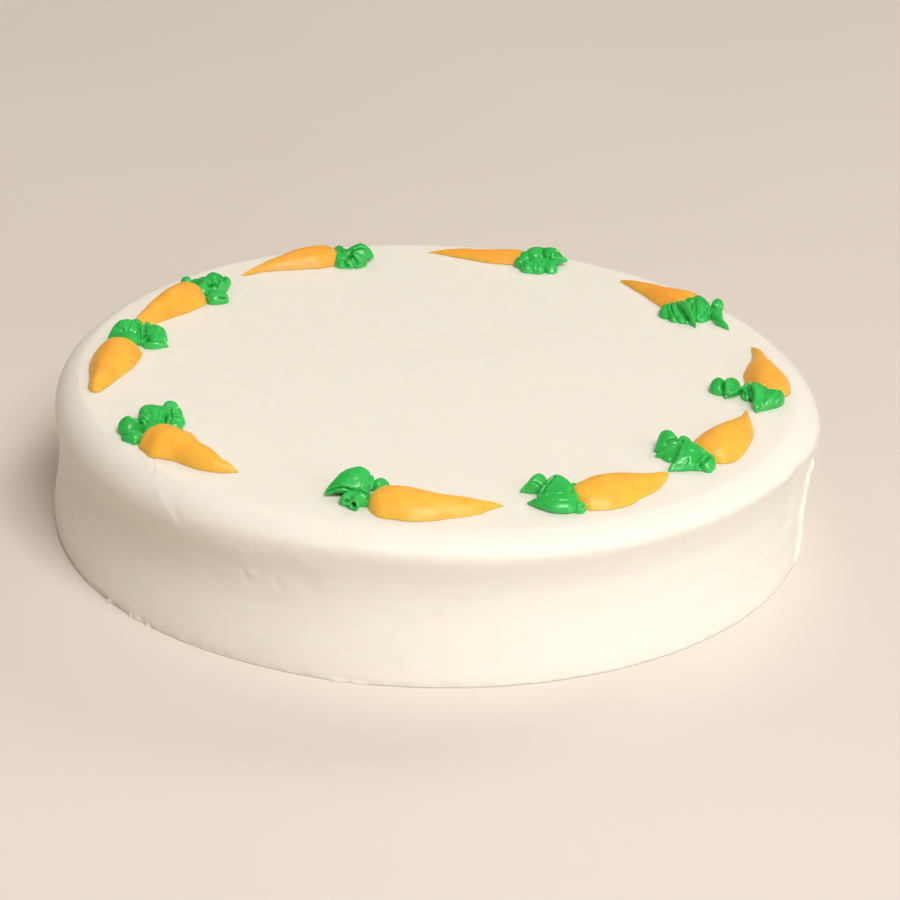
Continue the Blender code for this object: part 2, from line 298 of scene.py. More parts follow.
# How much a score's depth varies along it, over how many of its widths, and the least depth pressed.
SCORE_UNEVEN = 0.6
SCORE_NOISE = 2.5
SCORE_END = 0.005 * MM
SCORES = (
    Score(
        (
            (-86.0, -76.5, 50.9), (-85.3, -80.6, 50.8), (-85.1, -85.4, 49.9), (-86.5, -87.5, 48.5),
        ),
        0.20, 0.40, 0.25,
    ),
    Score(
        (
            (-82.8, -93.5, 46.8), (-81.7, -95.6, 45.5), (-79.7, -98.3, 43.8),
            (-77.7, -100.3, 41.4), (-76.8, -100.8, 39.7),
        ),
        -0.18, 1.2,
    ),
    Score(((-83.6, -92.3, 47.2), (-82.9, -93.2, 47.0)), -0.16, 0.9),
    Score(((-77.7, -99.7, 44.5), (-75.4, -102.1, 42.1)), 0.14, 1.2),
    Score(((-71.6, -99.2, 49.2), (-72.4, -100.9, 48.0)), 0.12, 0.8),
    Score(((-65.6, -106.8, 34.9), (-65.1, -106.1, 32.2)), 0.16, 0.9),
    Score(((-72.4, -100.1, 28.9), (-72.1, -100.0, 26.4)), 0.14, 0.9),
    Score(((-76.8, -97.9, 33.4), (-76.6, -97.0, 30.9)), 0.12, 0.9),
    Score(((-52.0, -115.8, 40.2), (-52.0, -115.5, 38.7)), 0.12, 0.9),
    Score(((-56.3, -113.8, 40.7), (-54.8, -114.7, 41.9)), -0.12, 1.0),
    Score(((-57.0, -113.1, 38.7), (-55.7, -113.5, 37.9)), -0.14, 1.1),
    Score(((-55.3, -111.4, 29.7), (-54.7, -111.5, 27.7)), 0.20, 1.3),
    Score(((-53.1, -112.6, 30.1), (-51.6, -113.3, 29.8)), -0.16, 1.6),
    Score(((-65.3, -105.0, 22.3), (-65.0, -105.2, 22.1)), -0.14, 0.9),
    Score(((-63.7, -106.1, 21.2), (-63.3, -106.3, 21.0)), -0.12, 0.9),
    Score(((-46.0, -115.8, 29.6), (-44.1, -116.3, 27.2)), 0.16, 1.3),
    Score(((-84.8, -92.3, 9.1), (-84.5, -92.7, 9.0)), -0.14, 1.0),
    Score(((-35.8, -119.4, 19.2), (-35.5, -119.6, 19.0)), -0.11, 1.0),
    Score(((-24.6, -122.2, 23.5), (-24.3, -122.3, 23.2)), -0.11, 1.0),
    Score(((-33.7, -122.9, 41.7), (-31.3, -123.3, 41.0)), 0.14, 3.0),
    Score(((-20.5, -125.1, 39.6), (-18.1, -125.3, 39.1)), 0.14, 3.0),
    Score(((-67.7, -104.5, 32.6), (-64.6, -105.4, 25.3)), 0.25, 5.0),
    Score(((-42.6, -118.0, 34.2), (-36.5, -119.3, 30.0)), 0.25, 4.5),
    Score(((-111.0, -40.4, 51.0), (-110.1, -42.0, 51.1)), -0.16, 1.0),
    Score(((-79.0, 43.9, 50.8), (-83.6, 32.3, 50.9), (-89.4, 13.0, 50.9)), 0.10, 0.7),
    Score(((-58.9, 24.2, 50.5), (-52.9, 28.5, 50.4)), 0.08, 0.7),
    Score(
        (
            (124.6, -34.1, 35.4), (123.3, -34.9, 29.6), (122.7, -34.3, 22.0), (122.2, -34.7, 14.8),
            (122.2, -34.7, 7.4), (121.0, -38.3, 1.0),
        ),
        -1.2, 1.2,
    ),
    Score(
        (
            (118.1, -53.9, 44.1), (116.9, -52.7, 37.2), (116.4, -50.5, 29.7), (116.1, -49.8, 22.1),
        ),
        0.7, 4.5,
    ),
    Score(((124.2, -36.2, 44.6), (121.6, -45.0, 44.4), (119.4, -51.5, 43.7)), 0.35, 1.2),
    Score(((-101.0, -76.3, 0.0), (-100.9, -76.5, 0.0)), -0.9, 0.9),
    Score(((-93.2, -85.5, 0.2), (-92.8, -85.9, 0.1)), -0.9, 0.8),
    Score(((-91.0, -87.7, 0.1), (-90.2, -88.8, 0.1)), -0.8, 0.9),
    Score(((-87.6, -91.2, 0.1), (-87.2, -91.5, 0.1)), -0.8, 0.8),
    Score(((-28.1, -123.4, 0.1), (-24.8, -124.1, 0.1)), -0.6, 0.8),
    Score(((-21.1, -124.8, 0.1), (-18.7, -125.2, 0.0)), -0.6, 0.8),
)


def cake_relief(point):
    """How far the frosting stands proud of its smooth shape at a point, in millimetres."""
    x, y, z = point / MM
    radius = math.hypot(x, y)
    angle = math.atan2(y, x)
    wall = min(max((radius - RIM_RADIUS) / RIM_BLEND, 0.0), 1.0)
    broad = noise.noise((x / BROAD_SIZE, y / BROAD_SIZE, z / BROAD_TALL)) * BROAD_BUMP
    patch = noise.noise((x / PATCH_SIZE, y / PATCH_SIZE, z / PATCH_TALL)) * PATCH_BUMP * wall
    spot = (angle * STREAK_TURNS, z / STREAK_TALL, radius / STREAK_DEEP)
    streak = noise.noise(spot) * STREAK_BUMP * wall
    spot = (x / SWEEP_LONG + SWEEP_SHIFT, (y + SWEEP_SLANT * x) / SWEEP_WIDE, SWEEP_LAYER)
    sweep = noise.noise(spot) * SWEEP_BUMP * (1 - wall)
    rag = 0.0
    if z < RAG_HEIGHT:
        rag = noise.noise((angle * RAG_TURNS, z / RAG_TALL, RAG_LAYER)) * RAG_BUMP * (1 - z / RAG_HEIGHT)
    return broad * wall + broad * TOP_BROAD * (1 - wall) + patch + streak + sweep + rag


def press_scores(cake):
    """Press the scores into the cake, a little unevenly along their length."""
    points, normals = read_vertices(cake.data)
    push = np.zeros(len(points))
    for score in SCORES:
        path = np.array(score.path) * MM
        press = press_seam(points, path, score)
        for i in np.nonzero(np.abs(press) > SCORE_END)[0]:
            spot = Vector(points[i]) / (score.width * SCORE_NOISE * MM)
            push[i] += press[i] * (1 + SCORE_UNEVEN * noise.noise(spot))
    push_vertices(cake.data, points, normals, push)


def make_cake():
    rows = cake_rows()
    points = np.concatenate(rows)
    cake = new_mesh("frosting_finish", points, skin_faces(len(rows), CAKE_SEGMENTS))
    displace(cake, cake_relief, keep_flat=FLAT_BASE)
    press_scores(cake)
    return cake


def path_gap(points, path):
    """Each point's distance from a path, and which side of it the point lies on."""
    nearest = np.full(len(points), np.inf)
    side = np.zeros(len(points))
    for start, end in zip(path[:-1], path[1:]):
        run = end - start
        offset = points - start
        share = np.clip(offset @ run / max(run @ run, TINY), 0, 1)
        gap = np.linalg.norm(offset - share[:, None] * run, axis=1)
        closer = gap < nearest
        nearest = np.where(closer, gap, nearest)
        side = np.where(closer, run[0] * offset[:, 1] - run[1] * offset[:, 0], side)
    return nearest, side


def displace(thing, relief, keep_flat=None):
    """Move each vertex along its normal by relief(point) millimetres, but leave a flat base alone."""
    points, normals = read_vertices(thing.data)
    push = np.array([relief(point) for point in points]) * MM
    if keep_flat is not None:
        low = points[:, 2] < keep_flat
        push[low & (np.hypot(points[:, 0], points[:, 1]) < FLAT_RADIUS)] = 0.0
        normals[low, 2] = 0.0
    push_vertices(thing.data, points, normals, push)


# ---- the carrots' places, read from the CAD roots ----
BUTT_DEPTH = 0.3 * MM


class Bed:
    """One carrot's place: its butt, the direction it points and its size, measured on its CAD root."""

    def __init__(self, node, heading):
        points = np.array([tuple(v.co) for v in bpy.data.objects[node].data.vertices])
        heading = math.radians(heading)
        self.ahead = np.array((math.cos(heading), math.sin(heading)))
        self.left = np.array((-self.ahead[1], self.ahead[0]))
        flat = points[:, :2]
        along = flat @ self.ahead
        self.butt = flat[along < along.min() + BUTT_DEPTH].mean(axis=0)
        self.length = float(along.max() - along.min())
        self.height = float((points[:, 2] - top_height(points[:, 0])).max())

    def place(self, ahead, left, height):
        """Points from their distances ahead of the butt, to the left, and above the frosting."""
        ahead, left, height = np.broadcast_arrays(ahead, left, height)
        spot = self.butt + ahead[..., None] * self.ahead + left[..., None] * self.left
        return np.concatenate([spot, (top_height(spot[..., 0]) + height)[..., None]], -1)


# ---- the piped roots ----
# Shares of a root's length: where its butt has rounded out to full width, and where its tip rounds off.
ROOT_BUTT = 0.13
ROOT_TIP = 0.97
ROOT_THIN = 0.25 * MM
ROOT_RINGS = 84
ROOT_POINTS = 48
ROOT_SINK = 0.35 * MM
ROOT_EDGE = 0.03
RISE_ROUNDS = 60
RISE_POWER = 0.75
# The cross section: how far the sides turn under, in half turns, and how full the dome is.
ROOT_TURN = 0.18
DOME_SQUARE = 2.4
DOME_POWER = 0.95
UNDER_DEPTH = 0.9
UNDER_WIDTH = 0.92
# Its bumps, in millimetres: how far they stand proud, and how large they are.
RIPPLE_BUMP = 0.22
RIPPLE_SIZE = 5
RIPPLE_TALL = 6
PIMPLE_BUMP = 0.06
PIMPLE_SIZE = 1.6

# heading: the way the carrot points, in degrees from +X. left and right: how far its edges lie from
# the line it points along, in millimetres, at each of the shares of its length in EDGE_SHARES.
EDGE_SHARES = np.array((0.0, 0.15, 0.28, 0.38, 0.46, 0.56, 0.70, 0.82, 0.92, 1.0))
Root = namedtuple("Root", "heading left right")
ROOTS = (
    Root(
        -2, (8.0, 9.0, 8.9, 7.6, 6.6, 5.7, 5.3, 4.7, 4.6, 4.2),
        (7.5, 8.8, 9.7, 9.5, 8.9, 7.3, 4.9, 2.6, -1.5, -4.0),
    ),
    Root(
        23, (6.5, 8.0, 9.8, 10.5, 10.3, 9.7, 8.1, 7.4, 8.0, 8.0),
        (8.0, 9.0, 9.7, 9.3, 8.2, 5.9, 3.5, 0.4, -3.7, -7.0),
    ),
    Root(
        56, (7.5, 8.6, 9.6, 9.6, 9.2, 8.6, 7.3, 6.6, 7.1, 8.2),
        (8.0, 8.5, 7.9, 7.0, 6.1, 4.7, 1.9, -1.5, -4.8, -7.6),
    ),
    Root(
        93, (6.5, 7.2, 7.4, 7.3, 6.8, 5.4, 3.1, 1.5, 1.2, 0.9),
        (6.5, 7.2, 7.8, 7.6, 6.5, 5.8, 3.7, 3.3, 1.8, -0.4),
    ),
    Root(
        141, (8.5, 9.0, 9.2, 7.9, 6.7, 5.2, 3.3, 1.8, 0.4, -0.6),
        (7.0, 6.5, 5.4, 4.7, 4.4, 4.2, 3.3, 3.0, 2.2, 1.2),
    ),
    Root(
        170, (6.0, 6.8, 7.2, 7.1, 6.6, 5.8, 4.9, 3.8, 3.2, 3.0),
        (5.5, 4.6, 3.4, 2.5, 2.1, 1.9, 1.2, 0.2, -1.2, -2.6),
    ),
    Root(
        207, (6.0, 6.8, 7.0, 5.9, 5.2, 4.3, 3.2, 3.1, 3.8, 3.9),
        (6.5, 7.4, 7.4, 7.1, 6.1, 4.7, 2.8, 0.5, -1.3, -2.8),
    ),
    Root(
        236, (6.0, 6.4, 6.3, 6.1, 5.6, 5.0, 4.2, 2.6, 1.5, 0.3),
        (7.5, 8.6, 8.3, 7.8, 7.0, 5.7, 4.3, 2.4, 1.2, 0.3),
    ),
    Root(
        263, (6.5, 7.6, 7.6, 7.3, 6.7, 5.6, 4.2, 3.0, 1.9, 0.8),
        (7.5, 8.4, 8.4, 8.0, 7.6, 6.9, 5.4, 4.4, 3.7, 2.4),
    ),
    Root(
        321, (7.5, 8.9, 8.9, 9.2, 7.0, 6.3, 5.4, 3.4, 2.9, 2.0),
        (6.5, 7.4, 9.1, 7.5, 6.2, 5.8, 5.4, 4.0, 1.7, -1.6),
    ),
)


def root_edge(table, share):
    """How far an edge of a root lies from its line, with the ends rounded off."""
    butt = np.sqrt(np.clip(1 - (1 - share / ROOT_BUTT) ** 2, 0, 1))
    butt = np.where(share < ROOT_BUTT, butt, 1.0)
    return spline(EDGE_SHARES, np.array(table), share) * MM * butt


def make_root(number, bed, root):
    share = 0.5 - 0.5 * np.cos(math.pi * (np.arange(ROOT_RINGS) + 0.5) / ROOT_RINGS)
    left, right = root_edge(root.left, share), root_edge(root.right, share)
    tip = np.sqrt(np.clip(1 - ((share - ROOT_TIP) / (1 - ROOT_TIP)) ** 2, 0, 1))
    tip = np.where(share > ROOT_TIP, tip, 1.0)
    half = np.maximum((left + right) / 2 * tip, ROOT_THIN)
    middle = (left - right) / 2
    turn = np.linspace(-ROOT_TURN, 1 + ROOT_TURN, ROOT_POINTS) * math.pi
    side = np.cos(turn)
    over = (1 - np.abs(side) ** DOME_SQUARE) ** DOME_POWER
    dome = np.where(np.sin(turn) > 0, over, np.sin(turn) * UNDER_DEPTH)
    rise = bed.height * (half / half.max()) ** RISE_POWER
    for _ in range(RISE_ROUNDS):
        rise[1:-1] = (rise[:-2] + 2 * rise[1:-1] + rise[2:]) / 4
    ahead = np.repeat((bed.length * share)[:, None], ROOT_POINTS, 1)
    spread = side * np.where(dome < 0, UNDER_WIDTH, 1.0)
    across = middle[:, None] + half[:, None] * spread[None, :]
    height = np.maximum(rise[:, None] * (ROOT_EDGE + (1 - ROOT_EDGE) * dome[None, :]), -ROOT_SINK)
    points = bed.place(ahead, across, height).reshape(-1, 3)
    thing = new_mesh(f"root_finish_{number:02d}", points, skin_faces(ROOT_RINGS, ROOT_POINTS))

    def relief(point):
        x, y, z = point / MM
        spot = (x / PIMPLE_SIZE, y / PIMPLE_SIZE, z / PIMPLE_SIZE + number)
        ripple = noise.noise((x / RIPPLE_SIZE + number, y / RIPPLE_SIZE, z / RIPPLE_TALL))
        return ripple * RIPPLE_BUMP + noise.noise(spot) * PIMPLE_BUMP

    displace(thing, relief)
    return thing


# ---- the tufts of leaves ----
LEAF_VOXEL = 0.2 * MM
STROKE_RINGS = 44
STROKE_POINTS = 33
LEAF_SINK = 0.6 * MM
LIP_THICKNESS = 0.7 * MM
# BULGE is how high up a round flank is widest. LOW_TIP is how far the raised end of a stroke reaches
# down from its top, in millimetres.
BULGE = 0.38
LOW_TIP = 0.4
# How far the points of a tuft stray, and over what length in millimetres.
WANDER = 0.6 * MM
WANDER_LENGTH = 5.0
WANDER_SEED = 3
RIB_POINTS = 12
TUBE_POINTS = 32
# The size of each row of a tube's mouth, and how deep it lies in millimetres.
MOUTH_ROWS = ((0.80, -0.3), (0.56, 0.0), (0.38, 0.6), (0.30, 1.4), (0.16, 2.6))
# How a round flank turns under: how far out it lies, in shares of its width, and how high, in shares
# of its edge's height. Then how far out a flank with a lip lies as it turns under.
ROUND_UNDER = np.array((0.98, 0.92, 0.80, 0.10))
ROUND_RISE = np.array((0.6, 0.3, 0.0, 0.0))
LIP_UNDER = np.array((0.96, 0.62, 0.34, 0.10))
# A lip lifts to this share of the stroke's height at most, and its inside falls by the same share.
LIP_SHARE = 0.75
# How thin a stroke gets at its ends, and how square its ends are.
THINNEST = 0.02
NUB_SQUARE = 3
RIB_SQUARE = 6
# How far the first ring and the last lie from a stroke's ends, in rings.
RING_INSET = 0.35
DIMPLE_BUMP = 0.2
DIMPLE_SIZE = 3.2
FINE_SIZE = 1.2
SMOOTH_FACTOR = 0.5
SMOOTH_ROUNDS = 2

# A tuft is a few strokes of icing pressed together behind the butt. A stroke's ridge starts `back`
# millimetres behind the butt and `out` millimetres towards the rim, and runs along `turn`, the angle
# in degrees from straight back towards the rim. near and far are the widths of its flanks on the rim
# side and the other side. tip is the height of its end, and bow curves its path towards the rim.
# lip and lip2 lift the free edges of the two flanks off the frosting. crest sharpens the ridge, and
# peak is how far along the stroke is widest.
Stroke = namedtuple(
    "Stroke",
    "kind back out turn length near far height tip bow lip lip2 crest peak",
    defaults=(0.5, 0.0, 0.0, 0.0, 0.1, 0.3),
)
TUFTS = (
    (
        Stroke("fold", 0.6, -12.5, 33, 15.5, 7, 3.5, 7.2, tip=2, lip=3.0, crest=0.2, peak=0.2, bow=-0.8),
        Stroke("nub", 0.9, -7.1, 37, 7.2, 4, 3.6, 4.4, tip=3.2),
        Stroke("nub", 3.5, -3.9, 51, 6.9, 2.5, 2.5, 3.8, tip=3.2),
        Stroke("tube", 1.7, -2.8, 72, 7.4, 2.0, 2.2, 3.6),
        Stroke("nub", -0.9, -10.1, 232, 6.4, 2.6, 2.6, 3.6, tip=3),
        Stroke("nub", 1.5, -2.7, 106, 4.4, 1.6, 1.6, 3.6, tip=2.6),
    ),
    (
        Stroke("fold", 3.0, -12.1, 15, 9.2, 4.4, 2, 4.6, tip=1, lip=0.8, peak=0.25),
        Stroke("fold", 2.5, -10.1, 6, 8.2, 2.6, 1, 3, tip=0.8, crest=0.3, lip=0.6),
        Stroke("fold", -0.8, -6.8, 18, 10.4, 9, 3.2, 6.2, tip=1.4, lip2=1.6, peak=0.2),
        Stroke("fold", -1.5, 2.8, 342, 15.9, 7.5, 1.2, 4.4, tip=0.8, lip=0.9, peak=0.3),
        Stroke("nub", 1.1, 5.9, 137, 3.8, 2, 2, 3.4, tip=2.8),
        Stroke("nub", -2.6, -5.1, 102, 4.6, 2.4, 2.4, 4.6, tip=3.4),
    ),
    (
        Stroke("fold", -3.1, -13.3, 346, 7.8, 6.5, 2.6, 6, tip=1.6, lip=1.2, crest=0.1, peak=0.3),
        Stroke("fold", 1.8, -8.2, 315, 7.3, 2.6, 2, 3, tip=0.9, lip=0.8),
        Stroke("nub", -7.9, -13.2, 74, 4.6, 2.1, 2.1, 2.8, tip=2.4),
        Stroke("nub", 4.4, -10.6, 63, 4.6, 2.4, 2.4, 2.4, tip=2),
        Stroke("fold", -0.5, -5.1, 3, 14.6, 9, 1.4, 6.6, tip=0.7, lip=0.9, lip2=1.8, crest=0.2, peak=0.22),
        Stroke("fold", 1.4, 3.9, 332, 9.5, 3.6, 3, 4.4, tip=0.7, lip=0.9, peak=0.25),
        Stroke("nub", -4.1, -4.2, 81, 4.9, 2.6, 2.6, 3.4, tip=3.4),
        Stroke("nub", 6.9, 3.2, 135, 3.6, 1.9, 1.9, 2.6, tip=2.4),
        Stroke("nub", 0.2, -6.4, 345, 7.4, 2.6, 2.6, 3.0, tip=2.6),
    ),
    (
        Stroke("nub", -10.5, -17.0, 354, 8.7, 2.7, 2.7, 4.2, tip=3.4),
        Stroke("fold", -7.5, -13.5, 343, 8.9, 4.5, 1.4, 4.8, tip=0.5, lip=0.8, lip2=1.2, peak=0.3),
        Stroke("nub", -9.8, -12.7, 358, 6.0, 3, 3, 4.4, tip=3.2),
        Stroke("nub", -6.0, -13.5, 56, 4.9, 2.4, 2.4, 3.2, tip=2.6),
        Stroke("rib", -2.8, -7.8, 298, 8.4, 0.7, 0.7, 4.4, tip=2.4),
        Stroke("nub", -4.5, -8.3, 354, 7.1, 1.7, 1.7, 3.4, tip=2.2),
        Stroke("nub", -7.7, -7.7, 24, 3.8, 2, 2, 3, tip=3.2),
        Stroke("fold", -2.4, -6.6, 357, 14.6, 7, 1.2, 6, tip=0.5, lip=0.9, lip2=1.8, crest=0.2, peak=0.22),
        Stroke("fold", 2.1, 2.3, 319, 11.4, 2.6, 5.5, 4.8, tip=0.7, lip2=0.8, crest=0.2, peak=0.25),
        Stroke("nub", 0.2, -1.3, 335, 6.1, 2.6, 2.6, 4, tip=2.4),
    ),
    (
        Stroke("nub", -6.7, -8.6, 302, 10.5, 2.8, 2.8, 3.2, tip=2.6),
        Stroke("nub", -5.8, -7.9, 310, 13.2, 2.2, 2.2, 4, tip=2.6),
        Stroke("nub", -5.0, -6.0, 313, 15.1, 2.1, 2.1, 4.6, tip=2.6),
        Stroke("nub", -4.3, -4.5, 315, 16.3, 2, 2, 4.8, tip=2.4),
        Stroke("fold", -0.0, -9.9, 327, 13.5, 2.8, 1.2, 5.6, tip=0.6, lip2=1.6, peak=0.25),
        Stroke("nub", -3.0, -1.6, 317, 10.1, 2.8, 2.8, 5.2, tip=3.2),
        Stroke("nub", -1.7, 2.3, 310, 17.8, 3.6, 3.6, 5.6, tip=3.4),
        Stroke("nub", 2.2, 1.3, 306, 13.1, 2.2, 2.2, 4.6, tip=3),
        Stroke("nub", 4.9, 4.8, 311, 5.3, 2.3, 2.3, 4.4, tip=3.6),
        Stroke("nub", 9.2, -1.6, 308, 7.1, 2.2, 2.2, 3.2, tip=2.6),
        Stroke("fold", 12.3, -6.6, 333, 9.0, 2, 1.8, 3, tip=0.4, lip=0.4, lip2=0.5),
    ),
    (
        Stroke("nub", -1.4, -0.8, 15, 9.5, 5, 5, 5, tip=5.2),
        Stroke("nub", -2.4, -4.4, 61, 5.7, 3, 3, 3.6, tip=4),
        Stroke("nub", -2.5, -3.8, 281, 6.4, 2.6, 2.6, 3.8, tip=3.4),
        Stroke("nub", 0.7, -7.7, 281, 6.2, 2.8, 2.8, 3.6, tip=2.8),
        Stroke("nub", 2.6, -7.1, 283, 6.5, 2.2, 2.2, 3.6, tip=2.8),
        Stroke("nub", 4.6, -6.8, 281, 6.7, 2.5, 2.5, 3.8, tip=2.8),
        Stroke("nub", 8.8, -4.8, 281, 7.1, 2.5, 2.5, 3.8, tip=2.6),
        Stroke("nub", 6.6, -4.9, 281, 7.0, 2.2, 2.2, 3.4, tip=2.4),
        Stroke("fold", 2.2, -0.1, 349, 13.0, 2.8, 2.6, 5, tip=3, lip=1.4, lip2=1.6, peak=0.45),
        Stroke("fold", 9.2, -6.2, 13, 2.6, 2.4, 2.2, 3, tip=1.2),
        Stroke("nub", 0.6, -3.4, 350, 8.4, 2.6, 2.6, 3.4, tip=3.0),
    ),
    (
        Stroke("nub", 3.4, 7.5, 245, 17.9, 2.3, 2.3, 4.4, tip=2.8),
        Stroke("fold", 2.4, -2.1, 328, 10.1, 2.6, 5, 5.2, tip=2.4, lip=1.2, lip2=2.0, bow=1.2, peak=0.45),
        Stroke("fold", 2.7, -7.4, 251, 4.7, 5, 1.6, 5, tip=1, lip=0.8, lip2=1.6, peak=0.35),
        Stroke("nub", 6.2, -1.2, 318, 5.7, 3, 3, 4.8, tip=3.4),
        Stroke("nub", 2.7, 1.4, 254, 8.7, 2.4, 2.4, 4.4, tip=3),
        Stroke("nub", -2.1, -6.1, 252, 3.9, 1.5, 1.5, 3, tip=2),
        Stroke("nub", 0.6, -6.7, 254, 4.5, 1.9, 1.9, 3.6, tip=2.4),
    ),
    (
        Stroke("nub", 5.3, 12.5, 319, 3.8, 2, 2, 3, tip=3),
        Stroke("nub", 7.2, 9.8, 297, 3.4, 1.4, 1.4, 2.4, tip=2.8),
        Stroke("nub", 8.2, 5.5, 240, 6.5, 3.2, 3.2, 5.2, tip=4.6),
        Stroke("nub", 13.2, 4.4, 221, 10.4, 3.9, 3.9, 6.2, tip=5),
        Stroke("nub", 11.3, 1.1, 231, 5.7, 2.8, 2.8, 4.4, tip=3.6),
        Stroke("fold", 6.5, -2.7, 346, 6.0, 1.3, 1.3, 4.6, tip=3.6, lip=1.6, lip2=1.6),
        Stroke("nub", -2.7, -4.9, 324, 8.2, 3.3, 3.3, 3.8, tip=4),
        Stroke("nub", -0.6, 2.0, 352, 8.6, 3.2, 3.2, 4.0, tip=3.4),
        Stroke("nub", 0.8, -3.4, 345, 6.6, 2.4, 2.4, 3.0, tip=2.6),
        Stroke("nub", 7.0, 8.8, 308, 6.2, 2.0, 2.0, 3.0, tip=2.8),
    ),
    (
        Stroke("fold", 10.6, -2.0, 126, 11.1, 5, 2.6, 6, tip=1, lip=1.0, bow=-1.2),
        Stroke("nub", 15.3, -0.3, 191, 10.7, 3.4, 3.4, 6.2, tip=4.4),
        Stroke("nub", 13.2, 2.3, 187, 7.6, 2.8, 2.8, 5, tip=3),
        Stroke("nub", 14.0, -2.4, 195, 13.0, 1.6, 1.6, 5.2, tip=3.2),
        Stroke("nub", 15.7, -4.4, 189, 2.9, 1.2, 1.2, 4.2, tip=4),
        Stroke("nub", 10.4, -5.6, 247, 7.8, 3.6, 4.6, 5.4, tip=4.6),
        Stroke("nub", 4.7, -6.8, 275, 6.3, 3.6, 3, 3.6, tip=3),
        Stroke("fold", -0.1, -6.7, 288, 8.7, 2.5, 1.1, 2, tip=1),
        Stroke("nub", -0.8, 0.6, 346, 8.8, 4.2, 4.4, 4.0, tip=3.6),
    ),
    (
        Stroke("nub", 10.1, -3.3, 124, 8.0, 3.2, 3.2, 5, tip=4.2),
        Stroke("nub", 4.3, 1.2, 104, 5.3, 2.8, 2.8, 3.4, tip=2.8),
        Stroke("nub", 2.4, 2.9, 138, 4.4, 1.4, 1.4, 3, tip=1.4),
        Stroke("nub", 11.9, -7.7, 226, 9.2, 3.6, 3.8, 5.4, tip=5.2),
        Stroke("nub", 10.4, -11.6, 232, 6.6, 3.0, 3.0, 4.6, tip=4.0),
        Stroke("nub", 8.6, -3.6, 204, 6.4, 2.8, 2.8, 3.8, tip=3.4),
        Stroke("nub", 7.9, -9.9, 152, 6.5, 3.4, 3.4, 5, tip=4.4),
        Stroke("nub", 7.4, -5.5, 148, 4.7, 2.2, 2.2, 5, tip=4.4),
        Stroke("nub", 11.4, -18.4, 231, 5.4, 2.3, 2.3, 3.4, tip=3.2),
        Stroke("nub", 7.0, -15.9, 233, 5.4, 2.5, 2.5, 4, tip=3.2),
        Stroke("nub", 3.4, -12.2, 230, 6.1, 2.5, 2.5, 4.2, tip=3),
        Stroke("nub", 1.4, -9.3, 222, 5.8, 2.2, 2.2, 3.8, tip=2.6),
        Stroke("nub", -0.5, -3.0, 322, 9.2, 3.6, 3.6, 4.0, tip=3.8),
        Stroke("nub", 3.4, 1.2, 126, 5.4, 3.0, 3.0, 3.4, tip=2.6),
    ),
)


